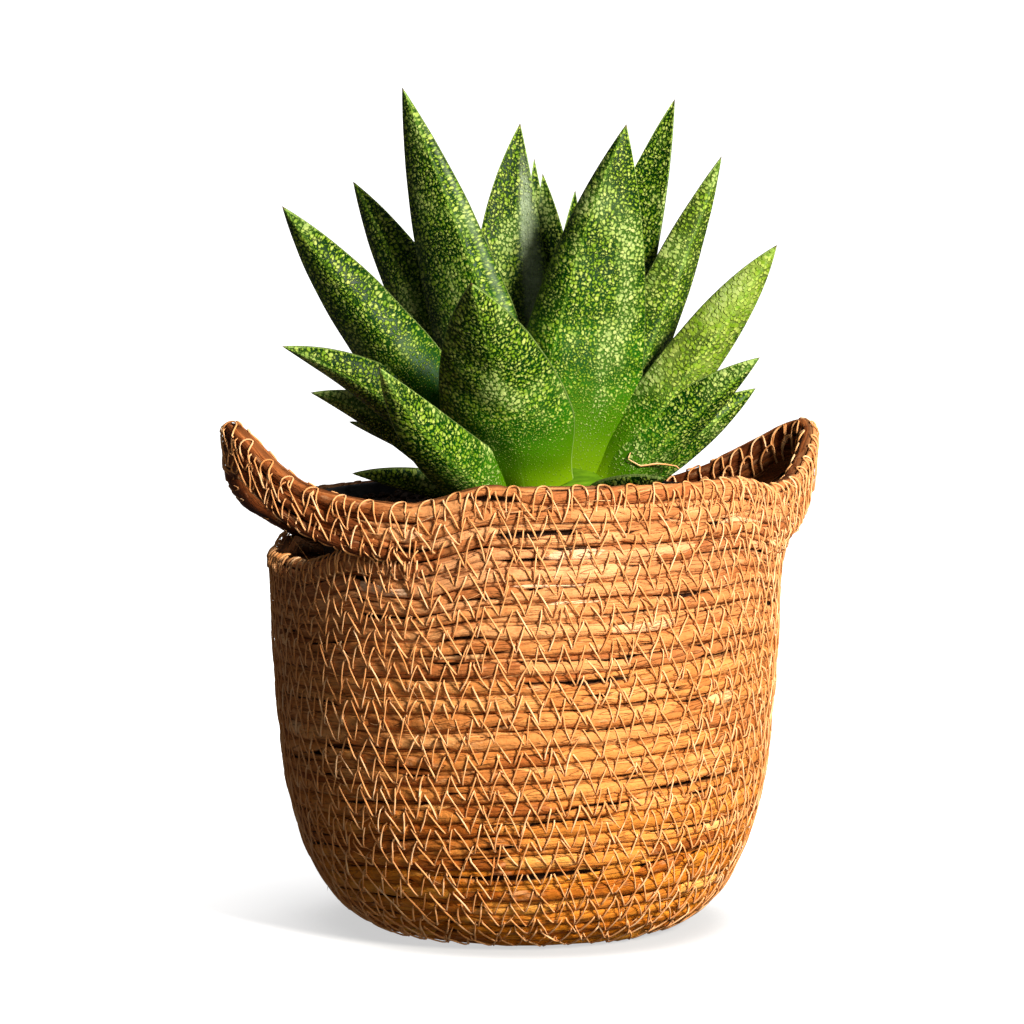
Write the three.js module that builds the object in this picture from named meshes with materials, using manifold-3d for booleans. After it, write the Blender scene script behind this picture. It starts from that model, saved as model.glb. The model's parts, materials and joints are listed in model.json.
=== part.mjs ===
// Potted ox tongue: a rosette of thick keeled leaves in a nursery pot of soil, which stands in a round
// basket of coiled seagrass with two handles. Millimetres, +Z up, the origin at the centre of the base.
// The handles lie along X.

import * as THREE from 'three';
import { mergeVertices } from 'three/addons/utils/BufferGeometryUtils.js';
import Module from 'manifold-3d';

const wasm = await Module();
wasm.setup();

// Driving dimensions
const GAP = 0.35; // between two pieces that touch

const basket = {
  radius: 85.5, // outside, at the rim
  height: 154, // to the top of the rim
  wall: 5.6,
  floor: 5.5,
  row: 5.9, // height of one turn of the coil
  groove: 1.5, // depth between two turns
  climb: 4, // the turns rise by twice this from one side to the other
  climbAt: -26, // degrees, the side where they are highest
  bellyIn: 27.4, // how far the foot draws in, in a long curve
  bellyRise: 32,
  heelIn: 10.4, // and in a short one at the heel
  heelRise: 6,
  settle: 0.5, // share of the height, at the top, over which the turns follow the rim's dips
  flareRise: 18, // height, at the top, over which the body flares out under a handle
  columns: 40,
};

const band = {
  rows: 3,
  rowHeight: 6.2,
  thick: 6.2,
  groove: 1.3,
  span: 42, // degrees from the middle of a handle to where the band meets the round body
  blunt: 6, // degrees, rounds the tip of the handle
  narrowing: 1.6, // how much sooner a handle's band narrows than it stands out
  tipOut: 4, // how much further a handle's lean carries it out
  columns: 66,
};
// Each handle stands out and up at its middle and leans outwards. There the band keeps the given share
// of its height, and the body's top flares out under it. Its slot is where the body's top is lower than
// the round rim's underside by its dip. It reaches so many degrees before and after the handle's middle,
// and closes over the ease at each end.
const handles = [
  {
    at: 180, out: 21.6, lift: 18.4, lean: 6, tall: 0.85, flare: 0,
    slot: { dip: 10, before: 52, easeBefore: 20, after: 32, easeAfter: 29 },
  },
  {
    at: 0, out: 23, lift: 11.4, lean: 7, tall: 1, flare: 7,
    slot: { dip: 4.5, before: 32, easeBefore: 12, after: 32, easeAfter: 12 },
  },
];
// Where the rim hangs lower, along the back and in front of each handle: by how much, from and until
// which direction, and over how many degrees it gets there at each end
const dips = [
  { low: 11.5, from: 0, until: 156, ease: 35 },
  { low: 6, from: 176, until: 237, ease: 20 },
  { low: 5, from: 296, until: 354, ease: 25 },
];

const pot = { foot: 50, top: 70, lip: 72.5, lipHeight: 8, wall: 1.5, base: 5.9, rim: 144, columns: 32 };
const drain = { count: 5, radius: 4, ring: 30, sides: 10, turn: 18 };
const soil = { top: 140, dome: 1.2 };
const crown = {
  x: 6,
  y: -3,
  radius: 27,
  neck: 9, // radius of the stem in the soil
  sunk: 14, // how deep the neck goes
  flare: 8, // how deep it starts to widen
  brim: 3, // and how deep it is at its full width
  shoulder: 3, // height of the dome's edge above the soil
  rise: 17, // and of its top
  columns: 16,
};

// One row for each leaf, from the innermost to the outermost: the direction that it leans in, how far
// out its tip is and how far above the soil, how far out its foot is, how much it arches inwards, sways
// and is rolled about itself, its width and thickness, how far its keel is off the middle, and how
// long it stays wide before it narrows to its tip. A row names only what differs from plainLeaf.
const plainLeaf = { bow: 0, sway: 0, roll: 0, keel: 0, taper: 3 };
const leaves = [
  { turn: 66, reach: 25, rise: 111, foot: 4, sway: -3, wide: 20, thick: 7 },
  { turn: -50, reach: 29, rise: 128, foot: 7, bow: 1, roll: -66, wide: 44, thick: 13, keel: 0.5, taper: 2.4 },
  { turn: 89, reach: 20, rise: 128, foot: 8, sway: 6, roll: -20, wide: 30, thick: 9, keel: 0.3 },
  { turn: 142, reach: 49, rise: 140, foot: 9, roll: 85, wide: 33, thick: 12, keel: -0.6, taper: 2.6 },
  { turn: 70, reach: 35, rise: 116, foot: 11, wide: 14, thick: 5 },
  { turn: 8, reach: 53, rise: 136, foot: 11, bow: 2, roll: 35, wide: 26, thick: 8 },
  { turn: 50, reach: 43, rise: 105, foot: 14, wide: 16, thick: 6 },
  { turn: -12, reach: 61, rise: 117, foot: 14, roll: -85, wide: 21, thick: 9 },
  { turn: 126, reach: 74, rise: 108, foot: 15, bow: 2, roll: 105, wide: 24, thick: 9, taper: 3.5 },
  { turn: 66, reach: 58, rise: 88, foot: 16, bow: 2, wide: 34, thick: 10 },
  { turn: 162, reach: 88, rise: 101, foot: 17, roll: 70, wide: 27, thick: 11, keel: -0.2, taper: 3.6 },
  {
    turn: -138, reach: 65, rise: 78, foot: 18, bow: 6, sway: -3, roll: 15, wide: 46, thick: 13, keel: -0.15,
    taper: 2.6,
  },
  { turn: -32, reach: 77, rise: 88, foot: 18, roll: -75, wide: 20, thick: 9, taper: 4.5 },
  { turn: 86, reach: 76, rise: 62, foot: 20, bow: 5, roll: 10, wide: 36, thick: 10 },
  { turn: 44, reach: 72, rise: 64, foot: 20, bow: 4, roll: -10, wide: 34, thick: 10 },
  { turn: 116, reach: 74, rise: 50, foot: 21, bow: 5, wide: 30, thick: 9 },
  { turn: -36, reach: 72, rise: 51, foot: 21, bow: 2, roll: -65, wide: 20, thick: 8 },
  { turn: -157, reach: 82, rise: 51, foot: 21, bow: -5, roll: 55, wide: 22, thick: 9 },
  { turn: 166, reach: 89, rise: 55, foot: 21, bow: 8, roll: 65, wide: 19, thick: 8, taper: 3.4 },
  { turn: 20, reach: 66, rise: 34, foot: 22, bow: 4, roll: -8, wide: 26, thick: 8 },
  { turn: -16, reach: 72, rise: 39, foot: 21, roll: -80, wide: 19, thick: 7 },
  { turn: 150, reach: 79, rise: 38, foot: 22, bow: 6, roll: 80, wide: 18, thick: 7 },
  { turn: 136, reach: 70, rise: 27, foot: 22, bow: 5, wide: 22, thick: 7 },
  { turn: 171, reach: 67, rise: 13, foot: 24, bow: 2, roll: 50, wide: 12, thick: 5 },
  { turn: -77, reach: 61, rise: 14, foot: 24, bow: 2, roll: -25, wide: 14, thick: 5 },
].map((row) => ({ ...plainLeaf, ...row }));
const blade = {
  steps: 11,
  sunk: 4, // how deep a leaf's foot sits in the stem's dome
  margin: 0.5, // half the thickness of a leaf's edge
  hollow: 0.14, // how far the upper face is hollowed, as a share of the thickness
  neckWidth: 0.72, // share of the width at the foot, and up to where it widens
  neckUntil: 0.3,
  neckDepth: 0.8, // share of the thickness at the foot, and up to where it thickens
  neckDepthUntil: 0.2,
  flankOut: 0.56, // the flank's corner between edge and keel, as shares of half width and thickness
  flankDown: 0.66,
};

// Materials
const paint = (color, roughness) => new THREE.MeshStandardMaterial({ color, roughness, metalness: 0 });
const seagrass = () => paint('#b9834a', 0.85);
const leafGreen = () => paint('#4f8a2a', 0.45);
const blackPlastic = () => paint('#141414', 0.5);
const earth = () => paint('#35261a', 0.95);

// Small helpers
const radians = (degrees) => (degrees * Math.PI) / 180;
const smooth = (x) => {
  const t = Math.min(1, Math.max(0, x));
  return t * t * (3 - 2 * t);
};
const turnFrom = (degrees, middle) => Math.abs(((degrees - middle + 540) % 360) - 180);

// A closed mesh from its points and faces, turned so that its faces point out.
function solid(points, faces) {
  let volume = 0;
  const [a, b, c] = [new THREE.Vector3(), new THREE.Vector3(), new THREE.Vector3()];
  for (const [i, j, k] of faces) {
    a.copy(points[i]);
    b.copy(points[j]);
    c.copy(points[k]);
    volume += a.dot(b.cross(c));
  }
  const index = faces.flatMap(([i, j, k]) => (volume > 0 ? [i, j, k] : [i, k, j]));
  const geometry = new THREE.BufferGeometry();
  geometry.setAttribute('position', new THREE.Float32BufferAttribute(points.flatMap((p) => p.toArray()), 3));
  geometry.setIndex(index);
  return geometry;
}

// A round body: profile(angle in degrees) gives the points [radius, z], with both ends on the axis,
// or a profile that closes on itself and so makes a ring.
function turned(columns, profile, ring = false) {
  const points = [];
  const faces = [];
  const rings = [];
  const add = (x, y, z) => points.push(new THREE.Vector3(x, y, z)) - 1;
  for (let column = 0; column < columns; column += 1) {
    const degrees = (360 * column) / columns;
    const [cos, sin] = [Math.cos(radians(degrees)), Math.sin(radians(degrees))];
    rings.push(profile(degrees).map(([r, z], k, all) => {
      const onAxis = !ring && (k === 0 || k === all.length - 1);
      if (onAxis && column > 0) return rings[0][k];
      return add(onAxis ? 0 : r * cos, onAxis ? 0 : r * sin, z);
    }));
  }
  const count = rings[0].length;
  for (let column = 0; column < columns; column += 1) {
    const [here, next] = [rings[column], rings[(column + 1) % columns]];
    for (let k = 0; k < (ring ? count : count - 1); k += 1) {
      const [p, q, r, s] = [here[k], next[k], next[(k + 1) % count], here[(k + 1) % count]];
      if (p !== q) faces.push([p, q, s]);
      if (r !== s) faces.push([q, r, s]);
    }
  }
  return solid(points, faces);
}

function toManifold(geometry, weld = 1e-4) {
  const bare = geometry.clone();
  for (const name of Object.keys(bare.attributes)) if (name !== 'position') bare.deleteAttribute(name);
  const merged = mergeVertices(bare, weld);
  const mesh = new wasm.Mesh({
    numProp: 3,
    vertProperties: new Float32Array(merged.attributes.position.array),
    triVerts: new Uint32Array(merged.index.array),
  });
  return new wasm.Manifold(mesh);
}

function fromManifold(body) {
  const mesh = body.getMesh();
  const geometry = new THREE.BufferGeometry();
  const stride = mesh.numProp;
  const position = [];
  for (let i = 0; i < mesh.vertProperties.length; i += stride) {
    position.push(...mesh.vertProperties.slice(i, i + 3));
  }
  geometry.setAttribute('position', new THREE.Float32BufferAttribute(position, 3));
  geometry.setIndex(Array.from(mesh.triVerts));
  return geometry;
}

// The largest body of a solid. It is taken again after its corners are merged, because that parts
// bodies that touch only at an edge.
function mainBody(body) {
  let main = body;
  for (let pass = 0; pass < 2; pass += 1) {
    const bodies = toManifold(fromManifold(main), 1e-3).decompose();
    main = bodies.sort((a, b) => b.volume() - a.volume())[0];
  }
  return fromManifold(main);
}

// Basket
function bodyRadius(z) {
  const belly = basket.bellyIn * Math.exp(-z / basket.bellyRise);
  const heel = basket.heelIn * Math.exp(-z / basket.heelRise);
  return basket.radius - belly - heel;
}

// How far round towards the tip of a handle, 0 on the round body and 1 at the tip.
function handleShare(degrees, handle) {
  const away = turnFrom(degrees, handle.at);
  if (away >= band.span) return 0;
  const stretch = (d) => 1 / Math.cos(radians(band.span - d)) - 1;
  const soft = Math.hypot(away, band.blunt) - band.blunt * smooth(away / band.span);
  return Math.max(0, stretch(Math.min(band.span, soft)) / stretch(band.blunt));
}

const dipHere = (degrees) => Math.max(...dips.map((dip) =>
  dip.low * smooth((degrees - dip.from) / dip.ease) * smooth((dip.until - degrees) / dip.ease)));
const bandTall = band.rows * band.rowHeight;
const rimUnder = basket.height - bandTall; // the underside of the rim where nothing lifts or lowers it

// The handle that a direction belongs to, and how far its band stands up and narrows there
function handleAt(degrees) {
  const handle = handles.find((one) => turnFrom(degrees, one.at) < 90) ?? handles[0];
  const bulge = handleShare(degrees, handle);
  return {
    handle, bulge,
    foot: rimUnder - dipHere(degrees) + handle.lift * bulge ** 2,
    lost: (1 - handle.tall) * smooth(band.narrowing * bulge),
  };
}

function bodyTop(degrees) {
  const { foot, lost } = handleAt(degrees);
  const hangs = handles.map(({ at, slot }) => {
    const turn = ((degrees - at + 540) % 360) - 180;
    const opens = smooth((turn + slot.before) / slot.easeBefore);
    return slot.dip * opens * smooth((slot.after - turn) / slot.easeAfter);
  });
  return Math.min(foot + lost * bandTall, rimUnder - Math.max(...hangs)) - GAP;
}

function basketBody() {
  // Steps along the outside from the foot to the top, one turn of the coil after the other.
  const full = rimUnder - GAP;
  const fine = 400;
  const along = [0];
  for (let i = 1; i <= fine; i += 1) {
    const [z0, z1] = [((i - 1) * full) / fine, (i * full) / fine];
    along.push(along[i - 1] + Math.hypot(z1 - z0, bodyRadius(z1) - bodyRadius(z0)));
  }
  const length = along[fine];
  const heightAt = (s) => {
    const i = Math.max(1, along.findIndex((a) => a >= s - 1e-9));
    return (full / fine) * (i - 1 + (s - along[i - 1]) / (along[i] - along[i - 1]));
  };
  const rows = Math.round(length / basket.row);
  const pitch = length / rows;
  const turnShape = [[0.02, 1], [0.3, 0.12], [0.7, 0.12]]; // place in a turn, share of the groove
  const steps = [];
  for (let row = 0; row < rows; row += 1) {
    for (const [place, deep] of turnShape) steps.push([(row + place) * pitch, deep]);
  }
  steps.shift();
  const insideShares = [0.02, 0.1, 0.22, 0.38, 0.56, 0.74, 0.88, 0.97];

  return turned(basket.columns, (degrees) => {
    const top = bodyTop(degrees);
    const { handle, bulge } = handleAt(degrees);
    const flared = (z) => handle.flare * bulge * smooth(1 - (full - z) / basket.flareRise);
    const settled = (z) => z + (top - full) * smooth(1 - (full - z) / (basket.settle * full));
    const climb = basket.climb * Math.cos(radians(degrees - basket.climbAt));
    const outside = steps.map(([s, deep]) => {
      const fade = Math.sin((Math.PI * s) / length) ** 0.5;
      const z = heightAt(Math.min(length, s + climb * fade));
      const tilt = Math.atan(bodyRadius(z + 0.5) - bodyRadius(z - 0.5));
      const depth = basket.groove * deep;
      return [bodyRadius(z) + flared(z) - depth * Math.cos(tilt), settled(z) + depth * Math.sin(tilt)];
    });
    const inside = insideShares.map((share) => {
      const z = basket.floor + share * (full - basket.floor);
      return [bodyRadius(z) + flared(z) - basket.wall, settled(z)];
    });
    const lip = bodyRadius(full) + flared(full);
    return [
      [0, 0],
      [bodyRadius(0) - 1, 0],
      ...outside,
      [lip - 0.7, top - 1.1],
      [lip - 1.6, top],
      [lip - basket.wall + 1.4, top],
      ...inside.reverse(),
      [bodyRadius(basket.floor) - basket.wall - 3, basket.floor],
      [0, basket.floor],
    ];
  });
}

function rimBand() {
  const half = band.thick / 2;
  // The section of the band, up the outside and down the inside, as [across, up].
  const section = [];
  for (let row = 0; row < band.rows; row += 1) {
    const foot = row * band.rowHeight;
    section.push([half - band.groove, foot + 0.03 * band.rowHeight]);
    section.push([half - 0.15, foot + 0.3 * band.rowHeight], [half - 0.15, foot + 0.7 * band.rowHeight]);
  }
  section.push([half - 1.6, bandTall], [-half + 1.6, bandTall]);
  for (let row = band.rows - 1; row >= 0; row -= 1) {
    const foot = row * band.rowHeight;
    section.push([-half + 0.1, foot + 0.62 * band.rowHeight]);
    section.push([-half + (row ? band.groove : 1.2), foot + 0.02 * band.rowHeight]);
  }
  return turned(band.columns, (degrees) => {
    const { handle, bulge, foot, lost } = handleAt(degrees);
    const lean = radians(handle.lean * bulge);
    const radius = basket.radius - half + handle.out * bulge;
    return section.map(([across, up]) => {
      const rise = up + (bandTall - up) * lost;
      return [
        radius + across * Math.cos(lean) + (rise - bandTall / 2 + band.tipOut * bulge) * Math.sin(lean),
        foot + rise * Math.cos(lean) + (half - across) * Math.sin(lean),
      ];
    });
  }, true);
}

// Nursery pot with a turned-out lip and drain holes in its base
const potRadius = (z) => pot.foot + ((pot.top - pot.foot) * (z - pot.base)) / (pot.rim - pot.base);

function nurseryPot() {
  const under = pot.rim - pot.lipHeight;
  const shell = turned(pot.columns, () => [
    [0, pot.base],
    [pot.foot - 1, pot.base],
    [pot.foot, pot.base + 1],
    [potRadius(under), under],
    [pot.lip, under + 0.5],
    [pot.lip, pot.rim - 0.5],
    [pot.lip - 0.5, pot.rim],
    [pot.top - pot.wall, pot.rim],
    [potRadius(under) - pot.wall, under],
    [potRadius(pot.base + pot.wall) - pot.wall, pot.base + pot.wall],
    [0, pot.base + pot.wall],
  ]);
  let body = toManifold(shell);
  for (let hole = 0; hole < drain.count; hole += 1) {
    const drill = new THREE.CylinderGeometry(drain.radius, drain.radius, 6 * pot.wall, drain.sides);
    const turn = radians((360 * hole) / drain.count + drain.turn);
    drill.rotateX(Math.PI / 2);
    drill.translate(drain.ring * Math.cos(turn), drain.ring * Math.sin(turn), pot.base);
    body = body.subtract(toManifold(drill));
  }
  return fromManifold(body);
}

// The stem's domed top: the shares of its radius at its rings, and its height above the soil there
const domeShares = [0.9, 0.7, 0.4, 0];
const domeRise = (share) => crown.shoulder + (crown.rise - crown.shoulder) * (1 - share * share) ** 0.7;

// The short thick stem: a neck in the soil and the broad dome that the leaves grow from
function stem(grow = 0) {
  const [radius, neck] = [crown.radius + grow, crown.neck + grow];
  const foot = soil.top - crown.sunk - grow;
  const dome = domeShares.map((share) => [share * radius, soil.top + domeRise(share) + grow]);
  return turned(crown.columns, () => [
    [0, foot],
    [neck, foot],
    [neck, soil.top - crown.flare],
    [radius, soil.top - crown.brim - grow],
    [radius, soil.top + crown.shoulder],
    ...dome,
  ]).translate(crown.x, crown.y, 0);
}

function pottingSoil() {
  const inside = (z) => potRadius(z) - pot.wall - GAP;
  const bottom = pot.base + pot.wall + GAP;
  const surface = [1, 0.66, 0.33, 0].map((share) => [
    share * inside(soil.top),
    soil.top + soil.dome * smooth(1.5 * (1 - share)),
  ]);
  const bed = turned(pot.columns, () => [[0, bottom], [inside(bottom), bottom], ...surface]);
  return fromManifold(toManifold(bed).subtract(toManifold(stem(GAP))));
}

// One leaf. Its middle line is a curve from its foot on the stem to its tip. Its section has a slightly
// hollow upper face, two blunt edges and a keel underneath.
function leafSolid(leaf, grow = 0) {
  const turn = radians(leaf.turn);
  const out = new THREE.Vector3(Math.cos(turn), Math.sin(turn), 0);
  const up = new THREE.Vector3(0, 0, 1);
  const centre = new THREE.Vector3(crown.x, crown.y, soil.top);
  const footRise = domeRise(leaf.foot / crown.radius) - blade.sunk;
  const foot = centre.clone().addScaledVector(out, leaf.foot).addScaledVector(up, footRise);
  const tip = centre.clone().addScaledVector(out, leaf.reach).addScaledVector(up, leaf.rise);
  const chord = tip.clone().sub(foot).normalize();
  const side = new THREE.Vector3().crossVectors(up, out);
  const over = new THREE.Vector3().crossVectors(chord, side).negate();
  if (over.z < 0) over.negate();
  const bend = foot.clone().add(tip).multiplyScalar(0.5)
    .addScaledVector(over, 2 * leaf.bow).addScaledVector(side, 2 * leaf.sway);
  const line = new THREE.QuadraticBezierCurve3(foot, bend, tip);
  const points = [];
  const faces = [];
  let sides = 0;
  for (let step = 0; step < blade.steps; step += 1) {
    const t = 1 - (1 - step / blade.steps) ** 1.15;
    const at = line.getPoint(t);
    const along = line.getTangent(t);
    const face = over.clone().addScaledVector(along, -over.dot(along)).normalize();
    face.applyAxisAngle(along, radians(leaf.roll));
    const across = new THREE.Vector3().crossVectors(along, face);
    const full = 1 - t ** leaf.taper;
    const widening = THREE.MathUtils.lerp(blade.neckWidth, 1, smooth(t / blade.neckUntil));
    const thickening = THREE.MathUtils.lerp(blade.neckDepth, 1, smooth(t / blade.neckDepthUntil));
    const wide = 0.5 * leaf.wide * full * widening + grow;
    const deep = leaf.thick * full ** 0.85 * thickening + grow;
    const hollow = leaf.thick * blade.hollow * full - grow;
    const edge = Math.min(blade.margin, 0.2 + 0.3 * full) + grow;
    const [flank, drop] = [blade.flankOut * wide, blade.flankDown * deep];
    const section = [
      [-wide, edge], [0, -hollow], [wide, edge], [wide, -edge],
      [flank, -drop], [leaf.keel * wide, -deep], [-flank, -drop], [-wide, -edge],
    ];
    sides = section.length;
    for (const [a, n] of section) {
      points.push(at.clone().addScaledVector(across, a).addScaledVector(face, n));
    }
  }
  const base = points.push(line.getPoint(0).addScaledVector(line.getTangent(0), -1 - grow)) - 1;
  const end = points.push(tip.clone().addScaledVector(chord, grow)) - 1;
  for (let k = 0; k < sides; k += 1) {
    const next = (k + 1) % sides;
    faces.push([base, next, k]);
    for (let step = 0; step < blade.steps - 1; step += 1) {
      const [p, q] = [step * sides + k, step * sides + next];
      faces.push([p, q, q + sides], [p, q + sides, p + sides]);
    }
    const last = (blade.steps - 1) * sides;
    faces.push([last + k, last + next, end]);
  }
  return solid(points, faces);
}

// The whole plant and its basket
const potted = new THREE.Group();

function addPiece(name, geometry, material) {
  const mesh = new THREE.Mesh(geometry, material);
  mesh.name = name;
  potted.add(mesh);
}

addPiece('basket_body', basketBody(), seagrass());
addPiece('rim_band', rimBand(), seagrass());
addPiece('nursery_pot', nurseryPot(), blackPlastic());
addPiece('potting_soil', pottingSoil(), earth());
addPiece('stem_crown', stem(), leafGreen());

// Each leaf is trimmed where it would run into the soil, the stem or the leaves inside it.
let taken = toManifold(stem(GAP)).add(toManifold(pottingSoil().translate(0, 0, GAP)));
leaves.forEach((leaf, index) => {
  const body = toManifold(leafSolid(leaf)).subtract(taken);
  addPiece(`leaf_${String(index + 1).padStart(2, '0')}`, mainBody(body), leafGreen());
  taken = taken.add(toManifold(leafSolid(leaf, GAP)));
});

export default potted;
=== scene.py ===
# Potted ox tongue, dressed: fine leaves with spots, a coiled seagrass basket whose rows are wound from
# single blades and sewn with a zigzag thread, a black nursery pot and its soil.
# Sizes are in millimetres and angles in degrees, as in the part's source, and MM turns them into metres.

import json
import math
from collections import namedtuple
from types import SimpleNamespace

import bpy
import numpy as np
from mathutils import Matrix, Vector

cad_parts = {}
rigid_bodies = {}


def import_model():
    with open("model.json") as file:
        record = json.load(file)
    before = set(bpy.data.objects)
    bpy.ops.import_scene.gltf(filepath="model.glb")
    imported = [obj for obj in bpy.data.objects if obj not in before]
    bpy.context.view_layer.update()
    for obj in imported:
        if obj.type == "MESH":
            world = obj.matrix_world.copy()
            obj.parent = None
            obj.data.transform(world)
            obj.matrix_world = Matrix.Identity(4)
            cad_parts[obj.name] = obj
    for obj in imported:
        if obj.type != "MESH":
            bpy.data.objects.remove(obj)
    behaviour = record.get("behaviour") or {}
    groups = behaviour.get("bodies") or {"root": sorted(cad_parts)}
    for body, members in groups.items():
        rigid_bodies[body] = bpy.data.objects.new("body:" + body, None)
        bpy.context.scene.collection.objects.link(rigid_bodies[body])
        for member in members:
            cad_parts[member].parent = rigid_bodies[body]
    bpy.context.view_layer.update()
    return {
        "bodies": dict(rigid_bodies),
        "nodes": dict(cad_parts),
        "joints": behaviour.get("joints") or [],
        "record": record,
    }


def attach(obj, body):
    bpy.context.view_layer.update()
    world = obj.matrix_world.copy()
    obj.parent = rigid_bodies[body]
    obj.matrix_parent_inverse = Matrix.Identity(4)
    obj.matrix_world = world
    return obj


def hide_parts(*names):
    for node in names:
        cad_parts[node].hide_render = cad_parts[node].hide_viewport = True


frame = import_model()

MM = 0.001
GAP = 0.35
RADIAN = 57.3  # degrees in a radian
WAVE = 6.28  # the phase of a whole wave

# Basket, as in the part's source
RADIUS, HEIGHT, WALL, FLOOR = 85.5, 154.0, 5.6, 5.5
ROW = 5.9
CLIMB, CLIMB_AT = 4, -26
BELLY_IN, BELLY_RISE = 27.4, 32.0
HEEL_IN, HEEL_RISE = 10.4, 6.0
SETTLE = 0.32  # share of the height, at the top, over which the rows dip under the slots
BLEND, BLEND_FROM = 1.3, 3  # how far the body's edge is rounded off at a slot's end, and from which dip on
FLARE_RISE = 18
BAND_ROWS, BAND_ROW, BAND_THICK = 3, 6.2, 6.2
BAND_SPAN, BAND_BLUNT, BAND_TIP_OUT, BAND_NARROWING = 42, 6, 4, 1.6
HANDLES = [
    SimpleNamespace(at=180, out=21.6, lift=18.4, lean=6, tall=0.85, flare=0, dip=10, before=52,
                    ease_before=20, after=32, ease_after=29),
    SimpleNamespace(at=0, out=23, lift=11.4, lean=7, tall=1, flare=7, dip=4.5, before=32, ease_before=12,
                    after=32, ease_after=12),
]
DIPS = [
    SimpleNamespace(low=11.5, start=0, until=156, ease=35),
    SimpleNamespace(low=6, start=176, until=237, ease=20),
    SimpleNamespace(low=5, start=296, until=354, ease=25),
]
BAND_TALL = BAND_ROWS * BAND_ROW
BODY_FULL = HEIGHT - BAND_TALL - GAP

# Nursery pot, soil and stem
POT = SimpleNamespace(foot=50, top=70, lip=72.5, lip_height=8, wall=1.5, base=5.9, rim=144)
SOIL_TOP, SOIL_DOME = 140, 1.2
CROWN = SimpleNamespace(x=6, y=-3, radius=27, neck=9, shoulder=3, rise=17)

# Strips of a leaf with hardly any spots: the leaf's number, its upper face 0 or its keeled one 1, from
# where to where across, and how plain
BARE = {3: (0, 0.25, 0.9, 0.85), 4: (1, -1.0, -0.8, 0.4), 25: (0, -0.8, 0.8, 0.5)}
# Leaves whose skin is paler between the spots
WASHED = {8: 0.1, 13: 0.7}
# Leaves whose spots start further up, by this share of their length
PLAIN_FOOT = {11: 0.2, 19: 0.1, 12: 0.05}
# A leaf's direction, how far out and up its tip is and how far out its foot, its width and thickness, how
# far its middle bows up and sways aside, its roll, how far its keel is off the middle, as a share of half
# the width, and how long it stays wide
Leaf = namedtuple("Leaf", "turn reach rise foot wide thick bow sway roll keel taper",
                  defaults=(0, 0, 0, 0, 3))
# From the innermost to the outermost, with the same numbers as in the part's source
LEAVES = [
    Leaf(66, 25, 111, 4, 20, 7, sway=-3),
    Leaf(-50, 29, 128, 7, 44, 13, bow=1, roll=-66, keel=0.5, taper=2.4),
    Leaf(89, 20, 128, 8, 30, 9, sway=6, roll=-20, keel=0.3),
    Leaf(142, 49, 140, 9, 33, 12, roll=85, keel=-0.6, taper=2.6),
    Leaf(70, 35, 116, 11, 14, 5),
    Leaf(8, 53, 136, 11, 26, 8, bow=2, roll=35),
    Leaf(50, 43, 105, 14, 16, 6),
    Leaf(-12, 61, 117, 14, 21, 9, roll=-85),
    Leaf(126, 74, 108, 15, 24, 9, bow=2, roll=105, taper=3.5),
    Leaf(66, 58, 88, 16, 34, 10, bow=2),
    Leaf(162, 88, 101, 17, 27, 11, roll=70, keel=-0.2, taper=3.6),
    Leaf(-138, 65, 78, 18, 46, 13, bow=6, sway=-3, roll=15, keel=-0.15, taper=2.6),
    Leaf(-32, 77, 88, 18, 20, 9, roll=-75, taper=4.5),
    Leaf(86, 76, 62, 20, 36, 10, bow=5, roll=10),
    Leaf(44, 72, 64, 20, 34, 10, bow=4, roll=-10),
    Leaf(116, 74, 50, 21, 30, 9, bow=5),
    Leaf(-36, 72, 51, 21, 20, 8, bow=2, roll=-65),
    Leaf(-157, 82, 51, 21, 22, 9, bow=-5, roll=55),
    Leaf(166, 89, 55, 21, 19, 8, bow=8, roll=65, taper=3.4),
    Leaf(20, 66, 34, 22, 26, 8, bow=4, roll=-8),
    Leaf(-16, 72, 39, 21, 19, 7, roll=-80),
    Leaf(150, 79, 38, 22, 18, 7, bow=6, roll=80),
    Leaf(136, 70, 27, 22, 22, 7, bow=5),
    Leaf(171, 67, 13, 24, 12, 5, bow=2, roll=50),
    Leaf(-77, 61, 14, 24, 14, 5, bow=2, roll=-25),
]
LEAF_SUNK = 4
LEAF_EDGE = 0.45  # half the thickness of a leaf's edge
LEAF_HOLLOW = 0.14  # how far the upper face is hollowed, as a share of the thickness
NECK_WIDTH, NECK_UNTIL = 0.72, 0.3
NECK_DEPTH, NECK_DEPTH_UNTIL = 0.8, 0.2
FAR_FROM_KEEL = 9.0
FACES_APART = 60  # between the two faces of a leaf in the spots' pattern


# Mesh helpers
def smooth(x):
    """0 below 0, 1 above 1 and a soft step between."""
    t = np.clip(x, 0, 1)
    return t * t * (3 - 2 * t)


def inside_ends(reach, length, size):
    """0 at both ends of a length, and 1 where it is at least size away from them."""
    return smooth(np.minimum(reach, length - reach) / size)


def numbers(*values):
    """Values as arrays of one shape."""
    return np.broadcast_arrays(*(np.asarray(value, float) for value in values))


def triples(*values):
    """Three values as one array of points or vectors."""
    return np.stack(np.broadcast_arrays(*values), -1)


def sums(steps):
    """Steps added up, from 0 on."""
    return np.concatenate([[0], np.cumsum(steps)])


def unit(vectors):
    return vectors / (np.linalg.norm(vectors, axis=-1, keepdims=True) + 1e-12)


def turn_from(degrees, middle):
    return np.abs((np.asarray(degrees, float) - middle + 540) % 360 - 180)


def add_object(name, data):
    thing = bpy.data.objects.new(name, data)
    bpy.context.scene.collection.objects.link(thing)
    return thing


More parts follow.
